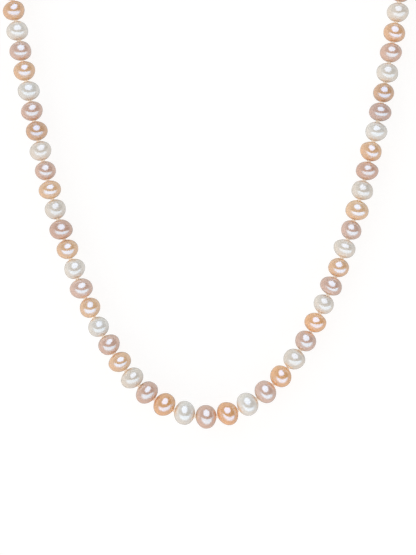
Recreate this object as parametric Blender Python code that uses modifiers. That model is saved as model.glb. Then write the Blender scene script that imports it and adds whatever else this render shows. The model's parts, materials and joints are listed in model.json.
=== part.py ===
"""A knotted necklace of 57 freshwater pearls with a spring ring clasp, unclasped and laid flat.

Metres, +Z up. The strand lies on the plane z = 0, in the catenary that it hangs in when it is worn.
The centre pearl is the lowest in the curve, at -Y. Both arms run up towards +Y, where the clasp ends are.
Every pearl sits on an empty at the knot before it, so turning that empty swings the rest of its arm.
"""

import math

import bpy
from mathutils import Matrix, Vector

MM = 0.001

# The strand: a pearl's number is 0 at the centre, positive on the right arm and negative on the left.
ARM_PEARLS = 28
SINGLE_PEARLS = 20  # modelled one by one on each arm; those behind the neck are joined in pairs
CATENARY = 27.6 * MM  # radius of the curve at the centre pearl
ACROSS = (7.95 * MM, 8.65 * MM)  # diameter across the string, of an arm pearl and of a centre pearl
ALONG = (6.95 * MM, 7.53 * MM)  # length along the string, of the same two
GRADED = (2, 7)  # the size falls from the centre pearl's to an arm pearl's between these two pearls
COLOURS = ("mauve", "peach", "white")  # repeated outwards from pearl 0

# Pearls that aren't the usual off-round ones: diameter and length against theirs, and which pearls
FORMS = {
    "round": (0.965, 1.03, {-13, -10, -8, -7, 4, 5, 6}),
    "button": (1.03, 0.95, {-14, -5, -4, -3, 9, 11, 15, 18}),
    "large": (1.055, 1.03, {-12, -9, 13}),
    "small": (0.95, 0.985, {-15, 8, 10, 12, 19}),
}

# The drill hole, the silk and its knots
HOLE_RADIUS = 0.45 * MM
MOUTH_RADIUS = 0.70 * MM  # the hole is countersunk, so that a knot can nest in it
MOUTH_DEPTH = 0.35 * MM
PEARL_GAP = 0.5 * MM
THREAD_RADIUS = 0.28 * MM
KNOT_RADIUS = 0.55 * MM
KNOT_HALF_LENGTH = 0.45 * MM

# The findings, measured outwards from an arm's last knot
LOOP_START = 1.0 * MM
LOOP_LENGTH = 4.4 * MM
LOOP_WIDTH = 2.6 * MM
BULLION_RADIUS = 0.45 * MM
RING_PLAY = 0.15 * MM  # between a ring's wire and the end of the loop that holds it
JUMP_RING = (2.2 * MM, 0.3 * MM)  # radius of the wire's centre line, and of the wire
END_RING = (2.6 * MM, 0.5 * MM)
EYE_OFFSET = 1.8 * MM  # from the jump ring's centre to the clasp's eye
EYE_HEIGHT = 1.425 * MM
EYE_THICKNESS = 0.65 * MM
EYE_RADIUS = 1.3 * MM
EYE_HOLE_RADIUS = 0.75 * MM

# The clasp: a hollow ring with an opening, closed by a curved bolt that a spring pushes out
CLASP_RADIUS = 3.1 * MM
CLASP_TUBE = 0.95 * MM
BORE_RADIUS = 0.62 * MM
BOLT_RADIUS = 0.45 * MM
EYE_TO_CLASP = 4.8 * MM
OPENING = (5, 60)  # degrees round the clasp from its nose; the eye is at 180
SOCKET_END = -5
BORE_END = 172
BOLT = (-1, 78)
BOLT_TRAVEL = 60
TAB_ANGLE = 66
TAB_RADIUS = 0.2 * MM
TAB_HEIGHT = 0.6 * MM  # above the tube
SLOT_RADIUS = 0.32 * MM
SLOT_OFFSET = 0.8 * MM  # of the slot's centre line, outwards from the tube's
SPRING = (80, 170)
SPRING_TURNS = 7
SPRING_RADIUS = 0.36 * MM
SPRING_WIRE = 0.08 * MM

PEARL_SIDES = 10
PEARL_STEPS = 6
ARC_STEP = 10  # degrees
RING_POINTS = 20
SPRING_POINTS = 7  # a turn
SEAM = 0.01 * MM

FINISHES = {  # base colour, roughness, metallic
    "mauve": ((0.60, 0.45, 0.40), 0.22, 0.0),
    "peach": ((0.72, 0.45, 0.28), 0.22, 0.0),
    "white": ((0.72, 0.68, 0.62), 0.22, 0.0),
    "silk": ((0.80, 0.72, 0.62), 0.80, 0.0),
    "bullion": ((0.70, 0.68, 0.65), 0.35, 1.0),
    "silver": ((0.80, 0.79, 0.77), 0.18, 1.0),
    "spring_steel": ((0.55, 0.55, 0.56), 0.30, 1.0),
}


class Link:
    """One rigid length of an arm: a pearl, or a joined pair, with the knot before it at its start."""

    def __init__(self, side, pearls, start, arc):
        self.side = side
        self.pearls = pearls
        self.start = start
        self.length = sum(pearl_size(pearl)[1] + PEARL_GAP for pearl in pearls)
        self.turn = math.atan((arc + self.length / 2) / CATENARY)
        self.direction = Vector((side * math.cos(self.turn), math.sin(self.turn)))
        self.end = start + self.direction * self.length
        self.height = pearl_size(pearls[0])[0] / 2

    def name(self):
        where = "right" if self.side > 0 else "left"
        numbers = "_".join(f"{abs(pearl):02d}" for pearl in self.pearls)
        if len(self.pearls) > 1:
            return f"pearl_pair_{where}_{numbers}"
        return f"pearl_{where}_{numbers}_{colour_of(self.pearls[0])}"

    def heading(self):
        return math.atan2(self.direction.y, self.direction.x)


def pearl_size(number):
    """(diameter across the string, length along it)."""
    first, last = GRADED
    outwards = min(max((abs(number) - first) / (last - first), 0), 1)
    across, along = (centre + (arm - centre) * outwards for arm, centre in (ACROSS, ALONG))
    for across_factor, along_factor, pearls in FORMS.values():
        if number in pearls:
            return across * across_factor, along * along_factor
    return across, along


def colour_of(number):
    return COLOURS[number % len(COLOURS)]


def arm_links(side):
    """The links of one arm, from the centre pearl outwards."""
    arc = (pearl_size(0)[1] + PEARL_GAP) / 2
    start = Vector((side * arc, 0))
    links = []
    number = 1
    while number <= ARM_PEARLS:
        count = 1 if number <= SINGLE_PEARLS else 2
        pearls = [side * (number + step) for step in range(count)]
        link = Link(side, pearls, start, arc)
        links.append(link)
        start = link.end
        arc += link.length
        number += count
    return links


def clear_scene():
    for obj in list(bpy.data.objects):
        bpy.data.objects.remove(obj)


def new_collection(name):
    collection = bpy.data.collections.new(name)
    bpy.context.scene.collection.children.link(collection)
    return collection


def make_materials():
    materials = {}
    for name, (colour, roughness, metallic) in FINISHES.items():
        material = bpy.data.materials.new(name)
        material.use_nodes = True
        shader = material.node_tree.nodes["Principled BSDF"]
        shader.inputs["Base Color"].default_value = (*colour, 1)
        shader.inputs["Roughness"].default_value = roughness
        shader.inputs["Metallic"].default_value = metallic
        materials[name] = material
    return materials


def add_object(name, data, collection, parent=None, location=(0, 0, 0), rotation=(0, 0, 0)):
    obj = bpy.data.objects.new(name, data)
    collection.objects.link(obj)
    obj.parent = parent
    obj.location = location
    obj.rotation_euler = rotation
    return obj


def pearl_outline(number, middle):
    """Half of a pearl's outline from its far mouth to its near one, as (radius, place along the string)."""
    across, along = pearl_size(number)
    first = math.asin(MOUTH_RADIUS / (across / 2))
    half = along / 2 / math.cos(first)
    turns = [first + (math.pi - 2 * first) * step / PEARL_STEPS for step in range(PEARL_STEPS + 1)]
    return [(across / 2 * math.sin(turn), middle + half * math.cos(turn)) for turn in turns]


def pearl_mesh(name, pearls):
    """The turned profile of one pearl or a joined pair, from its first mouth at 0 to its last at +Z."""
    outlines = []
    mouth = 0
    for number in pearls:
        along = pearl_size(number)[1]
        outlines.append(pearl_outline(number, mouth + along / 2))
        mouth += along + PEARL_GAP
    profile = [point for outline in reversed(outlines) for point in outline]
    profile += [(HOLE_RADIUS, MOUTH_DEPTH), (HOLE_RADIUS, mouth - PEARL_GAP - MOUTH_DEPTH)]
    count = len(profile)
    mesh = bpy.data.meshes.new(name)
    mesh.from_pydata([(x, 0, z) for x, z in profile], [(i, (i + 1) % count) for i in range(count)], [])
    return mesh


def add_pearls(name, pearls, collection, parent, materials, start=0.0):
    """A pearl or a joined pair whose string runs along the parent's X, a corner of it down on z = 0."""
    height = pearl_size(pearls[0])[0] / 2
    obj = add_object(name, pearl_mesh(name, pearls), collection, parent)
    obj.location = (start + PEARL_GAP / 2, 0, height)
    obj.rotation_euler = (0, math.pi / 2, 0)
    screw = obj.modifiers.new("turned", "SCREW")
    screw.steps = PEARL_SIDES
    screw.render_steps = PEARL_SIDES
    screw.use_merge_vertices = True
    screw.merge_threshold = SEAM
    screw.use_smooth_shade = True
    obj.data.materials.append(materials[colour_of(pearls[0])])
    return obj


def tube(name, points, radius, collection, material, cyclic=False, factors=None, parent=None):
    """A round wire along straight steps between the points. factors makes it thicker at some of them."""
    curve = bpy.data.curves.new(name, "CURVE")
    curve.dimensions = "3D"
    curve.bevel_depth = radius
    curve.bevel_resolution = 2
    curve.use_fill_caps = not cyclic
    spline = curve.splines.new("POLY")
    spline.points.add(len(points) - 1)
    for index, (point, place) in enumerate(zip(spline.points, points)):
        point.co = (*place, 1)
        point.radius = factors[index] if factors else 1
    spline.use_cyclic_u = cyclic
    spline.use_smooth = True
    curve.materials.append(material)
    return add_object(name, curve, collection, parent)


def as_mesh(obj, collection):
    """The same object as a mesh with its caps welded on, so that a Boolean can cut it or cut with it."""
    bpy.context.view_layer.update()
    graph = bpy.context.evaluated_depsgraph_get()
    mesh = bpy.data.meshes.new_from_object(obj.evaluated_get(graph))
    name = obj.name
    parent = obj.parent
    matrix = obj.matrix_basis.copy()
    bpy.data.objects.remove(obj)
    solid = add_object(name, mesh, collection, parent)
    solid.matrix_basis = matrix
    weld = solid.modifiers.new("welded_caps", "WELD")
    weld.merge_threshold = SEAM
    return solid


def cylinder(name, radius, height, middle, collection, parent, rotation=(0, 0, 0)):
    bpy.ops.mesh.primitive_cylinder_add(vertices=16, radius=radius, depth=height)
    obj = bpy.context.object
    obj.name = name
    for owner in list(obj.users_collection):
        owner.objects.unlink(obj)
    collection.objects.link(obj)
    obj.parent = parent
    obj.location = middle
    obj.rotation_euler = rotation
    return obj


def boolean(obj, operation, other):
    modifier = obj.modifiers.new(f"{operation.lower()}_{other.name}", "BOOLEAN")
    modifier.operation = operation
    modifier.object = other
    modifier.solver = "EXACT"
    other.hide_render = True
    other.display_type = "WIRE"


def circle_points(radius, count):
    return [
        (radius * math.cos(math.tau * step / count), 0, radius * math.sin(math.tau * step / count))
        for step in range(count)
    ]


def arc_points(radius, first, last):
    """Points round the clasp's centre, in its plane, between two angles in degrees."""
    count = max(round(abs(last - first) / ARC_STEP), 1)
    turns = [math.radians(first + (last - first) * step / count) for step in range(count + 1)]
    return [(radius * math.cos(turn), radius * math.sin(turn), 0) for turn in turns]


def thread_points(left, right):
    """(points, thickness factors) of the silk: three points for each knot, straight inside each pearl."""
    centre_height = pearl_size(0)[0] / 2
    chain = [(link.end, link.start, link.height) for link in reversed(left)]
    chain.append((left[0].start, right[0].start, centre_height))
    chain += [(link.start, link.end, link.height) for link in right]
    knot_factor = KNOT_RADIUS / THREAD_RADIUS
    points = []
    factors = []
    first_start, first_end, first_height = chain[0]
    outwards = (first_start - first_end).normalized()
    points += [
        (*(first_start + outwards * KNOT_HALF_LENGTH), first_height),
        (*first_start, first_height),
    ]
    factors += [1, knot_factor]
    for index, (start, end, height) in enumerate(chain):
        forwards = (end - start).normalized()
        next_height = chain[min(index + 1, len(chain) - 1)][2]
        points += [
            (*(start + forwards * KNOT_HALF_LENGTH), height),
            (*(end - forwards * KNOT_HALF_LENGTH), height),
            (*end, (height + next_height) / 2),
        ]
        factors += [1, 1, knot_factor]
    points.append((*(chain[-1][1] + forwards * KNOT_HALF_LENGTH), chain[-1][2]))
    factors.append(1)
    return points, factors


def add_loop(name, ring_height, collection, parent, materials, height):
    """The silk's end loop, sheathed in bullion: an oval that slopes from the last pearl's hole to its ring."""
    points = []
    for step in range(RING_POINTS):
        turn = math.tau * step / RING_POINTS
        along = LOOP_LENGTH / 2 * (1 - math.cos(turn))
        fall = (height - ring_height) * along / LOOP_LENGTH
        points.append((LOOP_START + along, LOOP_WIDTH / 2 * math.sin(turn), height - fall))
    return tube(name, points, BULLION_RADIUS, collection, materials["bullion"], True, None, parent)


def ring_wire_place(ring):
    """How far past the last knot the near side of a ring's wire stands inside the loop."""
    return LOOP_START + LOOP_LENGTH - BULLION_RADIUS - RING_PLAY - ring[1]


def add_ring(name, ring, collection, parent, materials):
    """A closed wire ring on edge. Its empty stands on the near side of its wire, which it swivels on."""
    radius, wire = ring
    swivel = add_object(f"{name}_swivel", None, collection, parent, (ring_wire_place(ring), 0, 0))
    obj = tube(name, circle_points(radius, RING_POINTS), wire, collection, materials["silver"], True)
    obj.parent = swivel
    obj.location = (radius, 0, radius + wire)
    return swivel


def add_clasp(collection, cutters, jump_swivel, materials):
    """The spring ring: its hollow body with the eye, the bolt with its thumb tab, and the spring behind it."""
    swivel = add_object("clasp_swivel", None, collection, jump_swivel, (JUMP_RING[0] + EYE_OFFSET, 0, 0))
    centre = add_object("clasp_centre", None, collection, swivel, (EYE_TO_CLASP, 0, CLASP_TUBE))
    silver = materials["silver"]

    def arc(name, radius, first, last, tube_radius, owner):
        wire = tube(name, arc_points(radius, first, last), tube_radius, owner, silver, parent=centre)
        return as_mesh(wire, owner)

    first, last = OPENING
    body = arc("clasp_body", CLASP_RADIUS, last, first + 360, CLASP_TUBE, collection)
    eye_place = (-EYE_TO_CLASP, 0, EYE_HEIGHT - CLASP_TUBE)
    boolean(body, "UNION", cylinder("eye", EYE_RADIUS, EYE_THICKNESS, eye_place, cutters, centre))
    over = 4 * EYE_THICKNESS
    boolean(body, "DIFFERENCE", cylinder("eye_hole", EYE_HOLE_RADIUS, over, eye_place, cutters, centre))
    beyond = ARC_STEP
    boolean(body, "DIFFERENCE", arc("bore", CLASP_RADIUS, last - beyond, BORE_END, BORE_RADIUS, cutters))
    boolean(body, "DIFFERENCE", arc("socket", CLASP_RADIUS, SOCKET_END, first + beyond, BORE_RADIUS, cutters))
    slot_end = TAB_ANGLE + BOLT_TRAVEL + ARC_STEP / 2
    slot_radius = CLASP_RADIUS + SLOT_OFFSET
    boolean(body, "DIFFERENCE", arc("slot", slot_radius, last - beyond, slot_end, SLOT_RADIUS, cutters))

    bolt = arc("clasp_bolt", CLASP_RADIUS, *BOLT, BOLT_RADIUS, collection)
    tab_length = CLASP_TUBE + TAB_HEIGHT
    turn = math.radians(TAB_ANGLE)
    outwards = Vector((math.cos(turn), math.sin(turn), 0))
    tab_place = outwards * (CLASP_RADIUS + tab_length / 2)
    boolean(bolt, "UNION", cylinder("tab", TAB_RADIUS, tab_length, tab_place, cutters, centre, (0, math.pi / 2, turn)))

    points = []
    first, last = SPRING
    count = SPRING_TURNS * SPRING_POINTS
    for step in range(count + 1):
        around = math.radians(first + (last - first) * step / count)
        wound = math.tau * step / SPRING_POINTS
        reach = CLASP_RADIUS + SPRING_RADIUS * math.cos(wound)
        points.append((reach * math.cos(around), reach * math.sin(around), SPRING_RADIUS * math.sin(wound)))
    tube("clasp_spring", points, SPRING_WIRE, collection, materials["spring_steel"], parent=centre)


def add_arm(links, root, collection, materials):
    """The pearls of one arm on their chain of empties. It returns the empty at the arm's last knot."""
    parent = root
    place = links[0].start
    heading = 0.0
    for link in links:
        turn = link.heading() - heading
        knot = add_object(f"knot_{link.name()}", None, collection, parent, (*place, 0), (0, 0, turn))
        add_pearls(link.name(), link.pearls, collection, knot, materials)
        parent = knot
        place = (link.length, 0)
        heading = link.heading()
    return add_object(f"{parent.name}_end", None, collection, parent, (*place, 0))


def centre_on_origin(root, collection):
    """Moves the whole necklace so that the middle of its box is over the origin."""
    bpy.context.view_layer.update()
    graph = bpy.context.evaluated_depsgraph_get()
    places = []
    for obj in collection.objects:
        if obj.type == "EMPTY":
            continue
        evaluated = obj.evaluated_get(graph)
        mesh = evaluated.to_mesh()
        places += [evaluated.matrix_world @ vertex.co for vertex in mesh.vertices]
        evaluated.to_mesh_clear()
    for axis in range(2):
        values = [place[axis] for place in places]
        root.location[axis] = -(min(values) + max(values)) / 2


def build_necklace():
    clear_scene()
    collection = new_collection("pearl_necklace")
    cutters = new_collection("cutters")
    materials = make_materials()
    root = add_object("necklace", None, collection)
    left = arm_links(-1)
    right = arm_links(1)

    name = f"pearl_centre_{colour_of(0)}"
    half = pearl_size(0)[1] / 2 + PEARL_GAP / 2
    add_pearls(name, [0], collection, root, materials, -half)
    left_end = add_arm(left, root, collection, materials)
    right_end = add_arm(right, root, collection, materials)

    points, factors = thread_points(left, right)
    tube("silk_thread", points, THREAD_RADIUS, collection, materials["silk"], False, factors, root)

    height = left[-1].height
    add_loop("bullion_loop_left", sum(END_RING), collection, left_end, materials, height)
    add_loop("bullion_loop_right", sum(JUMP_RING), collection, right_end, materials, height)
    add_ring("end_ring", END_RING, collection, left_end, materials)
    jump_swivel = add_ring("jump_ring", JUMP_RING, collection, right_end, materials)
    add_clasp(collection, cutters, jump_swivel, materials)
    centre_on_origin(root, collection)
    bpy.context.view_layer.update()


build_necklace()
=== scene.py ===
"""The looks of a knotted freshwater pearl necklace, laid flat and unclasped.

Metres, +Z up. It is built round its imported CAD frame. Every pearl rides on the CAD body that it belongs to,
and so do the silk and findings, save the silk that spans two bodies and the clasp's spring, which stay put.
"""

import json
import math
import random

import bpy
import numpy as np
from mathutils import Matrix, Vector, noise


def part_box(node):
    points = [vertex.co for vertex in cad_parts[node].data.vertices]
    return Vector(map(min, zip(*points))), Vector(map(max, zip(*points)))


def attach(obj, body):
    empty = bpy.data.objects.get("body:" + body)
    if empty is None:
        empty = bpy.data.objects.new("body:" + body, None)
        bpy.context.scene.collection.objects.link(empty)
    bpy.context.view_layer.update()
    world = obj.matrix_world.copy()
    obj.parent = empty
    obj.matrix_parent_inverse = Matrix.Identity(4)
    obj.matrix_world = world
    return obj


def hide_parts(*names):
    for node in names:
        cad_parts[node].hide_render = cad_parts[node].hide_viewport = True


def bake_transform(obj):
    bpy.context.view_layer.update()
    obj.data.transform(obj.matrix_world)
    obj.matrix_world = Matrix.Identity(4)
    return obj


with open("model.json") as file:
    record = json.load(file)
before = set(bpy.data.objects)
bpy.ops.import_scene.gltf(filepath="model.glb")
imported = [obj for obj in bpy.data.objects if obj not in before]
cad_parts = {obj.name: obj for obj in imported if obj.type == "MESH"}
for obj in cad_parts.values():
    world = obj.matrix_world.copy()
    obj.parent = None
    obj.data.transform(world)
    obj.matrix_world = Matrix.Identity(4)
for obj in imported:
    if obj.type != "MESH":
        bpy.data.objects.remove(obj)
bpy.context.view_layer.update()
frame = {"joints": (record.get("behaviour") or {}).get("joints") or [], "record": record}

MM = 0.001

# Sizes that the CAD model also uses
ARM_PEARLS = 28
SINGLE_PEARLS = 20
PEARL_GAP = 0.5 * MM
HOLE_RADIUS = 0.45 * MM
MOUTH_RADIUS = 0.70 * MM
MOUTH_DEPTH = 0.35 * MM
THREAD_RADIUS = 0.28 * MM
KNOT_HALF_LENGTH = 0.45 * MM
COLOURS = ("mauve", "peach", "white")

# Linear colour of the nacre's body, and the tint and refractive index of its gloss
NACRE = {
    "mauve": (0.75, 0.505, 0.405),
    "peach": (0.905, 0.56, 0.30),
    "white": (0.78, 0.755, 0.70),
}
GLOSS = {
    "mauve": ((0.49, 0.85, 1.0), 2.33),
    "peach": ((0.28, 0.66, 1.0), 2.62),
    "white": ((0.735, 0.83, 1.0), 1.88),
}
CLOUD_TINT = (0.90, 0.84, 0.76, 1)
CLOUD_SHARE = 0.55
# Painted light at each pearl's ends beside the silk: lighter and warmer, against the shade between pearls and
# for the warm light they bounce to each other
END_PAINTED_LIGHT_TINT = (1.16, 0.93, 0.62, 1)
END_PAINTED_LIGHT_REACH = (2.4 * MM, 3.8 * MM)  # from a pearl's middle: where the tint starts and where it is full
END_PAINTED_LIGHT_SHARE = 0.6

# Linear colour of each metal, and the roughness of its brightest and its most worn places
METALS = {
    "silver": ((0.70, 0.69, 0.67), 0.10, 0.24),
    "bullion": ((0.62, 0.61, 0.59), 0.18, 0.30),
    "spring_steel": ((0.50, 0.50, 0.51), 0.20, 0.35),
}

# Pearls whose tone differs from their colour's usual one: factors, and the pearls' numbers. The left arm's
# numbers are below 0.
TONES = (
    ((1.04, 0.92, 0.74), {-2, 1, 4, 7}),
    ((1.02, 1.08, 1.14), {-14, -11, -8, -5, 13}),
    ((0.95, 0.88, 0.83), {-12, 15}),
    ((0.88, 0.86, 0.87), {-17, 18, 19}),
)

# How uneven the pearls are: the range of each random draw, and then pearls whose shape isn't left to chance
FIRST_SEED = 4100
BLUNTNESS = (0.92, 1.0)  # an exponent: at 1 the section is elliptical, and below 1 its ends are blunter
LEAN = 0.07  # of a pearl's widest ring, from square across the string
EGG = 0.06  # of one side against the other
SKEW = 0.12  # of the widest ring towards one end
FACE = (0.88, 1.0)  # the same kind of exponent, for the top and the underside
TONE = 0.03
WOBBLE = 0.022
WOBBLE_SCALE = 1.6
WOBBLE_RANGE = 9
LEANING = {-3: 0.02, -2: 0.05, 1: -0.085}
EGG_SHAPED = {0: -0.06}

# The silk's knots and end loops
KNOT_TURN = 0.46 * MM
KNOT_WEAVE = 0.12 * MM
KNOT_STRAND = 0.27 * MM
KNOT_PITCH = 0.9 * MM
THREAD_PITCH = 1.5 * MM
PLY_TWIST = {"lobes": 3, "lobe_depth": 0.25}
TAIL = (0, 0.2 * MM, 0.4 * MM, 0.6 * MM)  # from the last knot to the loop
LOOP_NEAR = 0.6 * MM
LOOP_FAR = 5.4 * MM
LOOP_WIDTH = 1.6 * MM
LOOP_NECK = 0.35  # share of the width that is left at the knot
LOOP_CORE = 0.25 * MM
BULLION_REACH = 0.32 * MM
BULLION_WIRE = 0.095 * MM
BULLION_PITCH = 0.2 * MM
RING_WIRES = {"jump_ring": 0.3 * MM, "end_ring": 0.5 * MM}
SEAM_TURN = math.radians(-55)
SEAM_WAIST = (0.94, 0.985)  # share of the wire's thickness at the seam and one point away from it

# The clasp, as in the CAD model; angles are degrees round it from its nose
CLASP_RADIUS = 3.1 * MM
CLASP_TUBE = 0.95 * MM
CLASP_LIP = 0.16 * MM
BORE_RADIUS = 0.62 * MM
BOLT_RADIUS = 0.45 * MM
EYE_TO_CLASP = 4.8 * MM
EYE_HEIGHT = 1.425 * MM
EYE_THICKNESS = 0.65 * MM
EYE_RADIUS = 1.3 * MM
EYE_HOLE_RADIUS = 0.75 * MM
EYE_BEVEL = 0.12 * MM
OPENING = (5, 60)
SOCKET_END = -5
BORE_END = 172
BORE_OVERRUN = 10
BOLT = (-1, 78)
BOLT_TRAVEL = 60
BOLT_EDGE = 0.3 * MM
TAB_ANGLE = 66
TAB_RADIUS = 0.2 * MM
TAB_HEIGHT = 0.6 * MM
KNOB_RADIUS = TAB_RADIUS * 1.6
SLOT_RADIUS = 0.32 * MM
SLOT_OFFSET = 0.8 * MM
SLOT_OVERRUN = 5
SPRING = (80, 170)
SPRING_TURNS = 7
SPRING_RADIUS = 0.36 * MM
SPRING_WIRE = 0.08 * MM

# Mesh fineness
PEARL_SEGMENTS = 64
PEARL_RINGS = 40
THREAD_STEP = 0.2 * MM
KNOT_POINTS = 96
LOOP_POINTS = 96
RING_POINTS = 72
EYE_SEGMENTS = 48
STEM_RINGS = 8
SILK_SIDES = 9
LOOP_SIDES = 10
BULLION_SIDES = 6
RING_SIDES = 24
CLASP_SIDES = 40
BOLT_SIDES = 28
TAB_SIDES = 20
SPRING_SIDES = 8
BULLION_TURN_POINTS = 10
SPRING_TURN_POINTS = 20
EDGE_SHARES = (0.0, 0.12, 0.3, 0.55, 0.8)  # places of the rings on a rounded edge
CORNER_STEPS = 4
CORNER_STEP = 30  # degrees
BALL_RINGS = 10
POLE_GAP = 0.02  # in rings: how far from its poles a ball's first and last rings stand
SHARP_ANGLE = math.radians(32)
ANY_SIDE = (0.31, 0.17, 0.93)  # not parallel to any wire's first stretch

# The light tent as a pearl mirrors it: each oval's middle, half size and softness, and each zone's light
SOFTBOX = ((0.04, 0.30), (0.29, 0.29), 0.34)
DARK_SEAM = ((0.10, 0.34), (0.76, 0.55), 0.14)
PANEL = ((0.07, -0.10), (0.54, 0.46), 0.40)
FLAG = ((0.50, 0.27), (0.24, 0.32), 0.5)
SOFTBOX_LIGHT = (3.0, 3.35, 3.9, 1)
DARK_SEAM_LIGHT = (0.15, 0.15, 0.15, 1)
PANEL_LIGHT = (2.4, 3.05, 3.5, 1)
FLAG_LIGHT = (0, 0, 0, 1)
WALL_LIGHT = (0.5, 0.5, 0.5, 1)

# The tent's light on dull surfaces, and the backdrop
FRONT_LIGHT = (2.25, 1.98, 1.80, 1)
BACK_LIGHT = (1.95, 2.0, 2.03, 1)
ZENITH_LIGHT = (0.2, 0.2, 0.2, 1)
SIDE_SHADE = 0.18  # how far the zenith's dimness leans towards +X
BACKDROP = (0.97, 0.97, 0.97, 1)

FLOOR_HALF = 6.0
FLOOR_GLOW = 0.82
FLOOR_GLOW_MIRRORED = 0.26

CAMERA_HEIGHT = 0.6
VIEW_HEIGHT = 202.6 * MM  # of the picture, on the plane through the pearls' centres
VIEW_CENTRE = (0.7 * MM, 50.6 * MM)  # from the centre pearl
PEARL_PLANE = 4.2 * MM
CLIP_END = 50.0


def joint_named(name):
    return next(joint for joint in frame["joints"] if joint["name"] == name)


def frame_body(name):
    """The body that holds a CAD node."""
    bodies = frame["record"]["behaviour"]["bodies"]
    return next(body for body, nodes in bodies.items() if name in nodes)


class Pearl:
    """Where one pearl sits: its middle, the direction of its string and the knots at both its ends.

    Its height is that of its middle above the floor, which is also its radius across the string.
    """

    def __init__(self, number, node, start, end, share, height, next_height):
        self.number = number
        self.node = node
        self.direction = (end - start).normalized()
        self.start = start + (end - start) * share[0]
        self.end = start + (end - start) * share[1]
        self.middle = (self.start + self.end) / 2
        self.height = height
        self.along = (self.end - self.start).length - PEARL_GAP
        self.next_height = next_height
        self.colour = COLOURS[number % len(COLOURS)]
        self.label = label_of(number)


def label_of(number):
    if number == 0:
        return "centre"
    return f"{'right' if number > 0 else 'left'}_{abs(number):02d}"


def flat(point):
    return Vector((point[0], point[1]))


def box_middle(node):
    low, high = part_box(node)
    return flat((low + high) / 2)


def box_height(node):
    _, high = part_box(node)
    return high.z / 2


def read_arm(word, side):
    """The pearls of one arm, from the knot beside the centre pearl to the arm's last knot."""
    numbers = list(range(1, SINGLE_PEARLS + 1)) + list(range(SINGLE_PEARLS + 1, ARM_PEARLS + 1, 2))
    pearls = []
    for number in numbers:
        joint = joint_named(f"knot_{word}_{number:02d}")
        node = joint["child"]
        start = flat(joint["pos_m"])
        end = start + 2 * (box_middle(node) - start)
        shares = [(0, 1)] if number <= SINGLE_PEARLS else [(0, 0.5), (0.5, 1)]
        for step, share in enumerate(shares):
            height = box_height(node)
            pearls.append(Pearl(side * (number + step), node, start, end, share, height, height))
    for pearl, after in zip(pearls, pearls[1:]):
        pearl.next_height = after.height
    return pearls


# ---------------------------------------------------------------- materials


def new_material(name):
    material = bpy.data.materials.new(name)
    material.use_nodes = True
    tree = material.node_tree
    return material, tree, tree.nodes["Principled BSDF"]


def node(tree, kind, **settings):
    made = tree.nodes.new(kind)
    for key, value in settings.items():
        if key in made.inputs:
            made.inputs[key].default_value = value
        else:
            setattr(made, key, value)
    return made


def set_inputs(made, values):
    for name, value in values.items():
        made.inputs[name].default_value = value


def feed(tree, value, socket):
    """Links value to socket, if it is a socket too, or else sets it there."""
    if isinstance(value, bpy.types.NodeSocket):
        tree.links.new(value, socket)
    else:
        socket.default_value = value


def calculate(tree, operation, *values):
    """A math node. Each value is a socket or a number."""
    made = node(tree, "ShaderNodeMath", operation=operation)
    for value, socket in zip(values, made.inputs):
        feed(tree, value, socket)
    return made.outputs[0]


def mix_colours(tree, factor, first, second, blend="MIX"):
    """A colour mix. factor, first and second are each a socket or a value."""
    mix = node(tree, "ShaderNodeMix", data_type="RGBA", blend_type=blend)
    for value, socket in ((factor, mix.inputs[0]), (first, mix.inputs[6]), (second, mix.inputs[7])):
        feed(tree, value, socket)
    return mix.outputs[2]


def ramp(tree, value, low, high, low_out=0.0, high_out=1.0):
    """value mapped smoothly from low..high to low_out..high_out."""
    mapped = node(tree, "ShaderNodeMapRange", interpolation_type="SMOOTHSTEP")
    tree.links.new(value, mapped.inputs["Value"])
    set_inputs(mapped, {"From Min": low, "From Max": high, "To Min": low_out, "To Max": high_out})
    return mapped.outputs["Result"]


def nacre_material(colour):
    """Nacre: a warm, faintly clouded body under a strong bluish gloss.

    Each pearl's own tone is its object's colour, and its ends beside the silk are warmer and lighter with
    painted light.
    """
    material, tree, shader = new_material(f"nacre_{colour}")
    place = node(tree, "ShaderNodeTexCoord")
    tone = node(tree, "ShaderNodeObjectInfo")
    clouds = node(tree, "ShaderNodeTexNoise", Scale=260.0, Detail=2.0, Roughness=0.5)
    tree.links.new(place.outputs["Object"], clouds.inputs["Vector"])
    deep = mix_colours(tree, 1.0, tone.outputs["Color"], CLOUD_TINT, "MULTIPLY")
    cloudy = ramp(tree, clouds.outputs["Fac"], 0.40, 0.75, 0.0, CLOUD_SHARE)
    body = mix_colours(tree, cloudy, tone.outputs["Color"], deep)

    # Painted light: the ends beside the silk are lifted and warmed, against the shade between the pearls
    split = node(tree, "ShaderNodeSeparateXYZ")
    tree.links.new(place.outputs["Object"], split.inputs[0])
    reach = calculate(tree, "ABSOLUTE", split.outputs["X"])
    ends = ramp(tree, reach, *END_PAINTED_LIGHT_REACH, 0.0, END_PAINTED_LIGHT_SHARE)
    painted_end_light_colour = mix_colours(tree, 1.0, body, END_PAINTED_LIGHT_TINT, "MULTIPLY")
    body = mix_colours(tree, ends, body, painted_end_light_colour)
    tree.links.new(body, shader.inputs["Base Color"])

    growth = node(tree, "ShaderNodeTexNoise", Scale=1400.0, Detail=3.0, Roughness=0.6)
    tree.links.new(place.outputs["Object"], growth.inputs["Vector"])
    bump = node(tree, "ShaderNodeBump", Strength=0.05, Distance=0.05 * MM)
    tree.links.new(growth.outputs["Fac"], bump.inputs["Height"])
    tree.links.new(bump.outputs["Normal"], shader.inputs["Normal"])

    tint, ior = GLOSS[colour]
    set_inputs(shader, {"Roughness": 0.20, "IOR": ior, "Specular Tint": (*tint, 1)})
    set_inputs(shader, {"Coat Weight": 1.0, "Coat Roughness": 0.06, "Coat IOR": 1.5})
    return material


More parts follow.
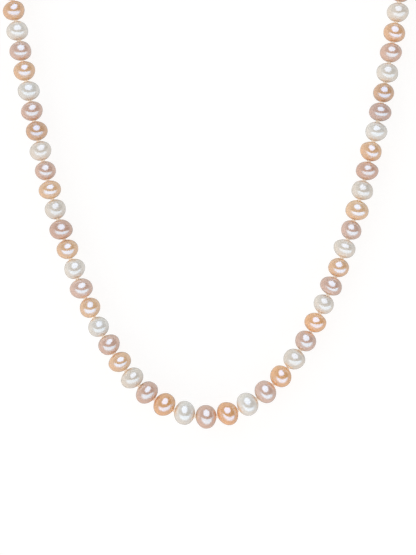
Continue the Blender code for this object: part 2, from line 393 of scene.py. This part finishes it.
def silk_material():
    """Pale silk with a soft shine, and a faint painted glow in place of light that comes through it."""
    material, tree, shader = new_material("silk")
    place = node(tree, "ShaderNodeTexCoord")
    fibres = node(tree, "ShaderNodeTexNoise", Scale=9000.0, Detail=2.0)
    tree.links.new(place.outputs["Object"], fibres.inputs["Vector"])
    shade = ramp(tree, fibres.outputs["Fac"], 0.3, 0.7)
    colour = mix_colours(tree, shade, (0.98, 0.86, 0.70, 1), (1.0, 0.93, 0.82, 1))
    tree.links.new(colour, shader.inputs["Base Color"])
    bump = node(tree, "ShaderNodeBump", Strength=0.25, Distance=0.02 * MM)
    tree.links.new(fibres.outputs["Fac"], bump.inputs["Height"])
    tree.links.new(bump.outputs["Normal"], shader.inputs["Normal"])
    set_inputs(shader, {"Roughness": 0.5, "IOR": 1.8, "Sheen Weight": 0.4})
    set_inputs(shader, {"Coat Weight": 0.8, "Coat Roughness": 0.45})
    # Painted light: a faint glow that lifts the knots out of the shade between the pearls
    set_inputs(shader, {"Emission Color": (1.0, 0.84, 0.68, 1), "Emission Strength": 0.2})
    return material


def metal_material(name, colour, low_roughness, high_roughness):
    """Polished metal with faint wiped scratches, which show as uneven gloss."""
    material, tree, shader = new_material(name)
    place = node(tree, "ShaderNodeTexCoord")
    stretch = node(tree, "ShaderNodeMapping")
    stretch.inputs["Scale"].default_value = (1.0, 1.0, 6.0)
    tree.links.new(place.outputs["Object"], stretch.inputs["Vector"])
    wear = node(tree, "ShaderNodeTexNoise", Scale=2500.0, Detail=4.0)
    tree.links.new(stretch.outputs["Vector"], wear.inputs["Vector"])
    gloss = ramp(tree, wear.outputs["Fac"], 0.35, 0.7, low_roughness, high_roughness)
    tree.links.new(gloss, shader.inputs["Roughness"])
    tone = mix_colours(tree, wear.outputs["Fac"], (*colour, 1), (*[c * 0.9 for c in colour], 1))
    tree.links.new(tone, shader.inputs["Base Color"])
    shader.inputs["Metallic"].default_value = 1.0
    return material


# ---------------------------------------------------------------- pearls


def place_along(direction, middle):
    """The matrix that puts a shape whose X runs along the string at middle."""
    turn = math.atan2(direction.y, direction.x)
    return Matrix.Translation(middle) @ Matrix.Rotation(turn, 4, "Z")


def add_mesh(name, points, faces, material, matrix=None):
    mesh = bpy.data.meshes.new(name)
    mesh.from_pydata([tuple(point) for point in points], [], faces)
    mesh.shade_smooth()
    mesh.materials.append(material)
    obj = bpy.data.objects.new(name, mesh)
    bpy.context.scene.collection.objects.link(obj)
    if matrix is not None:
        obj.matrix_world = matrix
    return obj


def skin(rings, sides, closed=True):
    """Quads over rings of points. A closed skin goes on from the last ring to the first."""
    faces = []
    for ring in range(rings if closed else rings - 1):
        beyond = (ring + 1) % rings
        for side in range(sides):
            after = (side + 1) % sides
            corners = ((ring, side), (ring, after), (beyond, after), (beyond, side))
            faces.append(tuple(row * sides + column for row, column in corners))
    return faces


def pearl_profile(radius, along, bluntness):
    """(place along the string, radius) round half a pearl's section and back through its drill hole."""
    first = math.asin(MOUTH_RADIUS / radius)
    half = along / 2 / math.cos(first) ** bluntness
    profile = []
    for step in range(PEARL_RINGS + 1):
        turn = first + (math.pi - 2 * first) * step / PEARL_RINGS
        place = math.copysign(abs(math.cos(turn)) ** bluntness, math.cos(turn))
        profile.append((half * place, radius * math.sin(turn)))
    depth = along / 2 - MOUTH_DEPTH
    lip = (MOUTH_RADIUS + HOLE_RADIUS) / 2
    for side in (-1, 1):
        ends = [(side * (along / 2 - 0.1 * MOUTH_DEPTH), MOUTH_RADIUS - 0.05 * MM)]
        ends += [(side * (depth + 0.5 * MOUTH_DEPTH), lip), (side * depth, HOLE_RADIUS)]
        profile += ends if side < 0 else reversed(ends)
    return profile


def make_pearl(pearl, material):
    """One pearl. Its own X runs along the string, and each has its own slight lack of roundness."""
    rng = random.Random(FIRST_SEED + pearl.number)
    bluntness = rng.uniform(*BLUNTNESS)
    lean = LEANING.get(pearl.number, rng.uniform(-LEAN, LEAN))
    egg = EGG_SHAPED.get(pearl.number, rng.uniform(-EGG, EGG))
    skew = rng.uniform(-SKEW, SKEW)
    face = rng.uniform(*FACE)
    wobble_place = Vector([rng.uniform(-WOBBLE_RANGE, WOBBLE_RANGE) for _ in range(3)])
    radius = pearl.height
    profile = pearl_profile(radius, pearl.along, bluntness)
    points = []
    for place, reach in profile:
        on_skin = min(max((reach - MOUTH_RADIUS) / (radius - MOUTH_RADIUS), 0), 1)
        for segment in range(PEARL_SEGMENTS):
            turn = math.tau * segment / PEARL_SEGMENTS
            cosine, sine = math.cos(turn), math.sin(turn)
            direction = Vector((place / radius, cosine * reach / radius, sine * reach / radius))
            wobble = 1 + WOBBLE * on_skin * noise.noise(direction * WOBBLE_SCALE + wobble_place)
            x = place + on_skin * (0.25 * skew * pearl.along * (reach / radius) ** 2)
            x += on_skin * lean * cosine * reach
            y = cosine * reach * wobble * (1 + egg * on_skin * cosine)
            z = math.copysign(abs(sine) ** (1 - (1 - face) * on_skin), sine) * reach * wobble
            points.append(Vector((x, y, z)))
    lowest = max(abs(point.z) for point in points)
    for point in points:
        point.z *= pearl.height / lowest
    faces = [(a, d, c, b) for a, b, c, d in skin(len(profile), PEARL_SEGMENTS)]
    matrix = place_along(pearl.direction, (*pearl.middle, pearl.height))
    obj = add_mesh(f"pearl_{pearl.label}", points, faces, material, matrix)
    strength, warmth = rng.uniform(-TONE, TONE), rng.uniform(-TONE, TONE)
    tone = [part * (1 + strength - warmth * step) for step, part in enumerate(NACRE[pearl.colour])]
    for factors, pearls in TONES:
        if pearl.number in pearls:
            tone = [part * factor for part, factor in zip(tone, factors)]
    obj.color = (*tone, 1)
    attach(obj, frame_body(pearl.node))
    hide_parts(pearl.node)


# ---------------------------------------------------------------- silk, knots and findings


def frames_along(path, closed, normal=None):
    """Two directions across a path at each of its points, square to the path and to each other.

    The first is square to normal too. Without a normal, both are carried along the path without twist.
    """
    if closed:
        tangents = np.roll(path, -1, axis=0) - np.roll(path, 1, axis=0)
    else:
        tangents = np.gradient(path, axis=0)
    tangents /= np.linalg.norm(tangents, axis=1)[:, None]
    if normal is not None:
        sides = np.cross(np.broadcast_to(normal, path.shape), tangents)
        sides /= np.linalg.norm(sides, axis=1)[:, None]
        return sides, np.cross(tangents, sides)
    start = np.array(ANY_SIDE)
    start -= tangents[0] * (start @ tangents[0])
    sides = [start / np.linalg.norm(start)]
    for tangent in tangents[1:]:
        side = sides[-1] - tangent * (sides[-1] @ tangent)
        sides.append(side / np.linalg.norm(side))
    sides = np.array(sides)
    ups = np.cross(tangents, sides)
    if closed:
        last = sides[-1] - tangents[0] * (sides[-1] @ tangents[0])
        slip = math.atan2(last @ ups[0], last @ sides[0])
        turns = -slip * np.arange(len(path)) / len(path)
        cosines, sines = np.cos(turns)[:, None], np.sin(turns)[:, None]
        sides, ups = sides * cosines + ups * sines, ups * cosines - sides * sines
    return sides, ups


def distances_along(path):
    steps = np.linalg.norm(np.diff(path, axis=0), axis=1)
    return np.concatenate([[0], np.cumsum(steps)])


def tube(path, radius, sides, closed=False, lobes=0, lobe_depth=0.0, lobe_pitch=1.0, normal=None):
    """Points and faces of a round or twisted-ply tube. radius is one number or one for each point."""
    path = np.asarray(path, float)
    across, ups = frames_along(path, closed, normal)
    travelled = distances_along(path)
    radii = np.broadcast_to(radius, len(path))
    points = []
    for index, place in enumerate(path):
        for side in range(sides):
            turn = math.tau * side / sides
            ply = lobes * turn - math.tau * travelled[index] / lobe_pitch
            reach = radii[index] * (1 - lobe_depth * (0.5 - 0.5 * math.cos(ply))) if lobes else radii[index]
            points.append(place + reach * (math.cos(turn) * across[index] + math.sin(turn) * ups[index]))
    rings = len(path)
    faces = skin(rings, sides, closed)
    if not closed:
        faces.append(tuple(reversed(range(sides))))
        faces.append(tuple((rings - 1) * sides + side for side in range(sides)))
    return points, faces


def joined(*parts):
    """Several (points, faces) as one."""
    points, faces = [], []
    for more_points, more_faces in parts:
        start = len(points)
        points += list(more_points)
        faces += [tuple(start + index for index in face) for face in more_faces]
    return points, faces


def knot_shape():
    """An overhand knot pulled tight: a trefoil that goes twice round the X axis and weaves 3 times."""
    points = []
    for step in range(KNOT_POINTS):
        turn = math.tau * step / KNOT_POINTS
        reach = KNOT_TURN + KNOT_WEAVE * math.cos(3 * turn)
        x = KNOT_WEAVE * math.sin(3 * turn)
        points.append((x, reach * math.cos(2 * turn), reach * math.sin(2 * turn)))
    return tube(points, KNOT_STRAND, SILK_SIDES, closed=True, lobe_pitch=KNOT_PITCH, **PLY_TWIST)


def thread_shape(length, start_rise, end_rise):
    """Twisted silk along X through one pearl, and up or down to the knots at its two ends."""
    count = round(length / THREAD_STEP)
    points = []
    for step in range(count + 1):
        x = length * step / count
        near_start = max(1 - x / KNOT_HALF_LENGTH, 0)
        near_end = max(1 - (length - x) / KNOT_HALF_LENGTH, 0)
        points.append((x, 0, start_rise * near_start + end_rise * near_end))
    return tube(points, THREAD_RADIUS, SILK_SIDES, lobe_pitch=THREAD_PITCH, normal=(0, 0, 1), **PLY_TWIST)


def add_silk(pearl, before, material):
    """The silk through one pearl, and the knot before it. The centre pearl has no knot of its own."""
    start_height = (before.height + pearl.height) / 2
    end_height = (pearl.height + pearl.next_height) / 2
    length = (pearl.end - pearl.start).length
    parts = [thread_shape(length, start_height - pearl.height, end_height - pearl.height)]
    if pearl.number:
        points, faces = knot_shape()
        parts.append(([np.array(point) + (0, 0, start_height - pearl.height) for point in points], faces))
    matrix = place_along(pearl.direction, (*pearl.start, pearl.height))
    obj = add_mesh(f"silk_{pearl.label}", *joined(*parts), material, matrix)
    body, body_before = frame_body(pearl.node), frame_body(before.node)
    if pearl.number and body != body_before:
        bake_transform(obj)
    else:
        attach(obj, body)
    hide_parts("silk_thread")


def loop_path(rise):
    """The end loop's centre line: a teardrop along X, narrow at the knot, that climbs by rise."""
    points = []
    for step in range(LOOP_POINTS):
        turn = math.tau * step / LOOP_POINTS
        outwards = (1 - math.cos(turn)) / 2
        x = LOOP_NEAR + (LOOP_FAR - LOOP_NEAR) * outwards
        width = LOOP_NECK + (1 - LOOP_NECK) * outwards
        points.append((x, LOOP_WIDTH * math.sin(turn) * width, rise * outwards))
    return np.array(points)


def coil_round(path, reach, pitch, points_per_turn, normal, closed):
    """A helix round a path."""
    loop = np.vstack([path, path[:1]]) if closed else path
    travelled = distances_along(loop)
    turns = round(travelled[-1] / pitch)
    count = turns * points_per_turn
    places = np.linspace(0, travelled[-1], count, endpoint=not closed)
    line = np.stack([np.interp(places, travelled, loop[:, axis]) for axis in range(3)], axis=1)
    sides, ups = frames_along(line, closed, normal)
    wound = math.tau * turns * np.arange(count) / count
    return line + reach * (np.cos(wound)[:, None] * sides + np.sin(wound)[:, None] * ups)


def add_end_loop(word, last, ring_height, silk, bullion):
    """The last knot, the silk loop beyond it and the bullion wire wound round the loop."""
    body = frame_body(last.node)
    matrix = place_along(last.direction, (*last.end, last.height))
    rise = ring_height - last.height
    path = loop_path(rise)
    slope = np.array((-rise, 0, LOOP_FAR - LOOP_NEAR))
    slope /= np.linalg.norm(slope)
    tail = tube([(x, 0, 0) for x in TAIL], THREAD_RADIUS, SILK_SIDES)
    core = tube(path, LOOP_CORE, LOOP_SIDES, closed=True, normal=slope)
    obj = add_mesh(f"silk_end_loop_{word}", *joined(knot_shape(), tail, core), silk, matrix)
    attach(obj, body)
    coil = coil_round(path, BULLION_REACH, BULLION_PITCH, BULLION_TURN_POINTS, slope, True)
    obj = add_mesh(f"bullion_{word}", *tube(coil, BULLION_WIRE, BULLION_SIDES, closed=True), bullion, matrix)
    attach(obj, body)
    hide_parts(f"bullion_loop_{word}")


def add_ring(name, last, material):
    """A round wire ring on edge, closed with a soldered seam. Its size is the CAD ring's."""
    _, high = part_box(name)
    height = high.z
    joint = joint_named(f"{name}_swivel")
    wire = RING_WIRES[name]
    radius = height / 2 - wire
    points = []
    radii = []
    for step in range(RING_POINTS):
        turn = math.tau * step / RING_POINTS + SEAM_TURN
        points.append((radius * math.cos(turn), 0, radius * math.sin(turn)))
        from_seam = min(step, RING_POINTS - step)
        radii.append(wire * (SEAM_WAIST[from_seam] if from_seam < len(SEAM_WAIST) else 1))
    middle = flat(joint["pos_m"]) + last.direction * radius
    matrix = place_along(last.direction, (*middle, height / 2))
    shape = tube(points, radii, RING_SIDES, closed=True, normal=(0, 1, 0))
    obj = add_mesh(name + "_polished", *shape, material, matrix)
    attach(obj, name)
    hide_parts(name)


def arc_path(radius, first, last, step=3):
    """Points on an arc round Z from one angle to another, about step degrees apart."""
    count = round((last - first) / step)
    turns = np.radians(np.linspace(first, last, count + 1))
    return np.stack([radius * np.cos(turns), radius * np.sin(turns), np.zeros(count + 1)], axis=1)


def rounded_ends(path, radius, edge):
    """A path with more points at both its ends, where the edge is rounded, and a radius for each point."""
    start, end = path[0], path[-1]
    inwards = (path[1] - start) / np.linalg.norm(path[1] - start)
    outwards = (path[-2] - end) / np.linalg.norm(path[-2] - end)
    near = [start + inwards * edge * share for share in EDGE_SHARES]
    far = [end + outwards * edge * share for share in reversed(EDGE_SHARES)]
    rounded = [radius - edge + edge * math.sqrt(1 - (1 - share) ** 2) for share in EDGE_SHARES]
    steps = np.linalg.norm(path - start, axis=1), np.linalg.norm(path - end, axis=1)
    middle = path[(steps[0] > edge) & (steps[1] > edge)]
    radii = [*rounded, *[radius] * len(middle), *reversed(rounded)]
    return np.vstack([near, middle, far]), radii


def washer(radius, hole, thickness, middle, bevel):
    """A flat ring with rounded edges, whose axis is Z."""
    section = []
    for x, z, first in ((radius, 1, 90), (radius, -1, 0), (hole, -1, -90), (hole, 1, 180)):
        inwards = -1 if x == radius else 1
        corner = (x + inwards * bevel, z * (thickness / 2 - bevel))
        for step in range(CORNER_STEPS):
            turn = math.radians(first - CORNER_STEP * step)
            section.append((corner[0] + bevel * math.cos(turn), corner[1] + bevel * math.sin(turn)))
    points = []
    for ring in range(EYE_SEGMENTS):
        turn = math.tau * ring / EYE_SEGMENTS
        for x, z in section:
            points.append(np.array(middle) + (x * math.cos(turn), x * math.sin(turn), z))
    return points, [(b, c, d, a) for a, b, c, d in skin(EYE_SEGMENTS, len(section))]


def combined(name, shape, steps, material, matrix):
    """A shape with others united with it or cut from it, in order, as one clean mesh."""
    obj = add_mesh(name, *shape, material, matrix)
    helpers = []
    for number, (operation, other) in enumerate(steps):
        helper = add_mesh(f"{name}_helper_{number}", *other, material, matrix)
        helpers.append(helper)
        modifier = obj.modifiers.new(helper.name, "BOOLEAN")
        modifier.operation = operation
        modifier.object = helper
        modifier.solver = "EXACT"
    bpy.context.view_layer.update()
    graph = bpy.context.evaluated_depsgraph_get()
    mesh = bpy.data.meshes.new_from_object(obj.evaluated_get(graph))
    obj.modifiers.clear()
    obj.data = mesh
    for helper in helpers:
        bpy.data.objects.remove(helper)
    mesh.shade_smooth()
    mesh.set_sharp_from_angle(angle=SHARP_ANGLE)
    return obj


def ball(radius, middle):
    """A sphere as a tube that opens and closes along Z."""
    turns = [math.pi * (step + POLE_GAP) / (BALL_RINGS + 2 * POLE_GAP) for step in range(BALL_RINGS + 1)]
    path = [np.array(middle) + (0, 0, -radius * math.cos(turn)) for turn in turns]
    return tube(path, [radius * math.sin(turn) for turn in turns], TAB_SIDES, normal=(0, 1, 0))


def add_clasp(silver, steel):
    """The spring ring: a slotted hollow body with a fixed eye, a bolt with a thumb tab, and the spring."""
    middle = Vector(joint_named("clasp_bolt")["pos_m"])
    eye = flat(joint_named("clasp_swivel")["pos_m"])
    direction = (flat(middle) - eye).normalized()
    matrix = place_along(direction, middle)
    eye_place = (-EYE_TO_CLASP, 0, EYE_HEIGHT - CLASP_TUBE)
    first, last = OPENING

    path, radii = rounded_ends(arc_path(CLASP_RADIUS, last, first + 360), CLASP_TUBE, CLASP_LIP)
    bore_path = arc_path(CLASP_RADIUS, last - BORE_OVERRUN, BORE_END)
    bore = tube(bore_path, BORE_RADIUS, BOLT_SIDES, normal=(0, 0, 1))
    socket_path = arc_path(CLASP_RADIUS, SOCKET_END, first + BORE_OVERRUN)
    socket = tube(socket_path, BORE_RADIUS, BOLT_SIDES, normal=(0, 0, 1))
    slot_end = TAB_ANGLE + BOLT_TRAVEL + SLOT_OVERRUN
    slot_path = arc_path(CLASP_RADIUS + SLOT_OFFSET, last - BORE_OVERRUN, slot_end)
    slot = tube(slot_path, SLOT_RADIUS, TAB_SIDES, normal=(0, 0, 1))
    body = combined(
        "clasp_ring",
        tube(path, radii, CLASP_SIDES, normal=(0, 0, 1)),
        [
            ("UNION", washer(EYE_RADIUS, EYE_HOLE_RADIUS, EYE_THICKNESS, eye_place, EYE_BEVEL)),
            ("DIFFERENCE", bore),
            ("DIFFERENCE", socket),
            ("DIFFERENCE", slot),
        ],
        silver,
        matrix,
    )
    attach(body, "clasp")
    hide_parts("clasp_body")

    path, radii = rounded_ends(arc_path(CLASP_RADIUS, *BOLT), BOLT_RADIUS, BOLT_EDGE)
    turn = math.radians(TAB_ANGLE)
    outwards = np.array((math.cos(turn), math.sin(turn), 0))
    reaches = np.linspace(CLASP_RADIUS, CLASP_RADIUS + CLASP_TUBE + TAB_HEIGHT - TAB_RADIUS, STEM_RINGS)
    stem = tube([outwards * reach for reach in reaches], TAB_RADIUS, TAB_SIDES, normal=(0, 0, 1))
    knob = ball(KNOB_RADIUS, outwards * reaches[-1])
    rod = tube(path, radii, BOLT_SIDES, normal=(0, 0, 1))
    bolt = combined("clasp_bolt_and_tab", rod, [("UNION", stem), ("UNION", knob)], silver, matrix)
    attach(bolt, "clasp_bolt")
    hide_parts("clasp_bolt")

    line = arc_path(CLASP_RADIUS, *SPRING, step=1)
    length = math.radians(SPRING[1] - SPRING[0]) * CLASP_RADIUS
    coil = coil_round(line, SPRING_RADIUS, length / SPRING_TURNS, SPRING_TURN_POINTS, (0, 0, 1), False)
    spring = add_mesh("clasp_spring_coil", *tube(coil, SPRING_WIRE, SPRING_SIDES), steel, matrix)
    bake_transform(spring)
    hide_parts("clasp_spring")


# ---------------------------------------------------------------- floor, light and camera


def make_floor():
    """A plain pale floor that glows evenly, but less in what the pearls mirror."""
    material, tree, shader = new_material("floor")
    place = node(tree, "ShaderNodeTexCoord")
    grain = node(tree, "ShaderNodeTexNoise", Scale=3.0, Detail=2.0)
    tree.links.new(place.outputs["Object"], grain.inputs["Vector"])
    colour = mix_colours(tree, grain.outputs["Fac"], (0.24, 0.24, 0.24, 1), (0.26, 0.26, 0.26, 1))
    tree.links.new(colour, shader.inputs["Base Color"])
    set_inputs(shader, {"Roughness": 0.9, "Specular IOR Level": 0.0, "Emission Color": (1, 1, 1, 1)})
    ray = node(tree, "ShaderNodeLightPath")
    glow = ramp(tree, ray.outputs["Is Glossy Ray"], 0.0, 1.0, FLOOR_GLOW, FLOOR_GLOW_MIRRORED)
    tree.links.new(glow, shader.inputs["Emission Strength"])
    corners = [(x * FLOOR_HALF, y * FLOOR_HALF, 0) for x, y in ((-1, -1), (1, -1), (1, 1), (-1, 1))]
    floor = add_mesh("floor", corners, [(0, 1, 2, 3)], material)
    floor.data.shade_flat()


def oval(tree, across, up, centre, half_size, soft):
    """1 inside an oval of the tent and 0 outside it, with a soft edge.

    across and up are the X and Y of the half-way vector between a direction and the zenith.
    """
    squares = []
    for place, middle, half in zip((across, up), centre, half_size):
        share = calculate(tree, "DIVIDE", calculate(tree, "SUBTRACT", place, middle), half)
        squares.append(calculate(tree, "MULTIPLY", share, share))
    return ramp(tree, calculate(tree, "ADD", *squares), 1 - soft, 1 + soft, 1.0, 0.0)


def make_light():
    """A light tent: a bright oval softbox towards +Y over a wide panel, a dark seam between them, a flag.

    Mirror-like rays see these zones, dull surfaces get a soft dome and the camera sees a pale backdrop.
    """
    world = bpy.data.worlds.new("light_tent")
    bpy.context.scene.world = world
    world.use_nodes = True
    tree = world.node_tree
    tree.nodes.clear()
    place = node(tree, "ShaderNodeTexCoord")
    lifted = node(tree, "ShaderNodeVectorMath", operation="ADD")
    lifted.inputs[1].default_value = (0, 0, 1)
    tree.links.new(place.outputs["Generated"], lifted.inputs[0])
    halfway = node(tree, "ShaderNodeVectorMath", operation="NORMALIZE")
    tree.links.new(lifted.outputs[0], halfway.inputs[0])
    split = node(tree, "ShaderNodeSeparateXYZ")
    tree.links.new(halfway.outputs[0], split.inputs[0])
    across, up = split.outputs["X"], split.outputs["Y"]
    tent = WALL_LIGHT
    zones = (PANEL, DARK_SEAM, FLAG, SOFTBOX)
    lights = (PANEL_LIGHT, DARK_SEAM_LIGHT, FLAG_LIGHT, SOFTBOX_LIGHT)
    for zone, light in zip(zones, lights):
        tent = mix_colours(tree, oval(tree, across, up, *zone), tent, light)

    upward = node(tree, "ShaderNodeSeparateXYZ")
    tree.links.new(place.outputs["Generated"], upward.inputs[0])
    facing = ramp(tree, upward.outputs["Y"], -1.0, 1.0)
    horizon = mix_colours(tree, facing, FRONT_LIGHT, BACK_LIGHT)
    shade = calculate(tree, "MULTIPLY_ADD", upward.outputs["X"], SIDE_SHADE, upward.outputs["Z"])
    dome = mix_colours(tree, shade, horizon, ZENITH_LIGHT)

    ray = node(tree, "ShaderNodeLightPath")
    lit = mix_colours(tree, ray.outputs["Is Glossy Ray"], dome, tent)
    seen = mix_colours(tree, ray.outputs["Is Camera Ray"], lit, BACKDROP)
    background = node(tree, "ShaderNodeBackground")
    tree.links.new(seen, background.inputs["Color"])
    output = node(tree, "ShaderNodeOutputWorld")
    tree.links.new(background.outputs[0], output.inputs["Surface"])


def make_camera(centre_pearl):
    """A camera that looks straight down on the front of the strand."""
    data = bpy.data.cameras.new("camera")
    camera = bpy.data.objects.new("camera", data)
    bpy.context.scene.collection.objects.link(camera)
    x, y = centre_pearl.middle
    camera.location = (x + VIEW_CENTRE[0], y + VIEW_CENTRE[1], CAMERA_HEIGHT)
    data.lens = data.sensor_width / 2 / (VIEW_HEIGHT / 2 / (CAMERA_HEIGHT - PEARL_PLANE))
    data.clip_end = CLIP_END
    bpy.context.scene.camera = camera
    bpy.context.scene.view_settings.view_transform = "Standard"


def main():
    left = read_arm("left", -1)
    right = read_arm("right", 1)
    centre_node = "pearl_centre_mauve"
    height = box_height(centre_node)
    centre = Pearl(0, centre_node, left[0].start, right[0].start, (0, 1), height, right[0].height)
    make_camera(centre)
    make_light()
    make_floor()
    nacre = {colour: nacre_material(colour) for colour in COLOURS}
    silk = silk_material()
    silver, bullion, steel = [metal_material(name, *look) for name, look in METALS.items()]
    for pearl in [*reversed(left), centre, *right]:
        make_pearl(pearl, nacre[pearl.colour])
    add_silk(centre, left[0], silk)
    for arm in (left, right):
        for pearl, before in zip(arm, [centre, *arm]):
            add_silk(pearl, before, silk)
    add_end_loop("left", left[-1], joint_named("end_ring_swivel")["pos_m"][2], silk, bullion)
    add_end_loop("right", right[-1], joint_named("jump_ring_swivel")["pos_m"][2], silk, bullion)
    add_ring("end_ring", left[-1], silver)
    add_ring("jump_ring", right[-1], silver)
    add_clasp(silver, steel)


main()
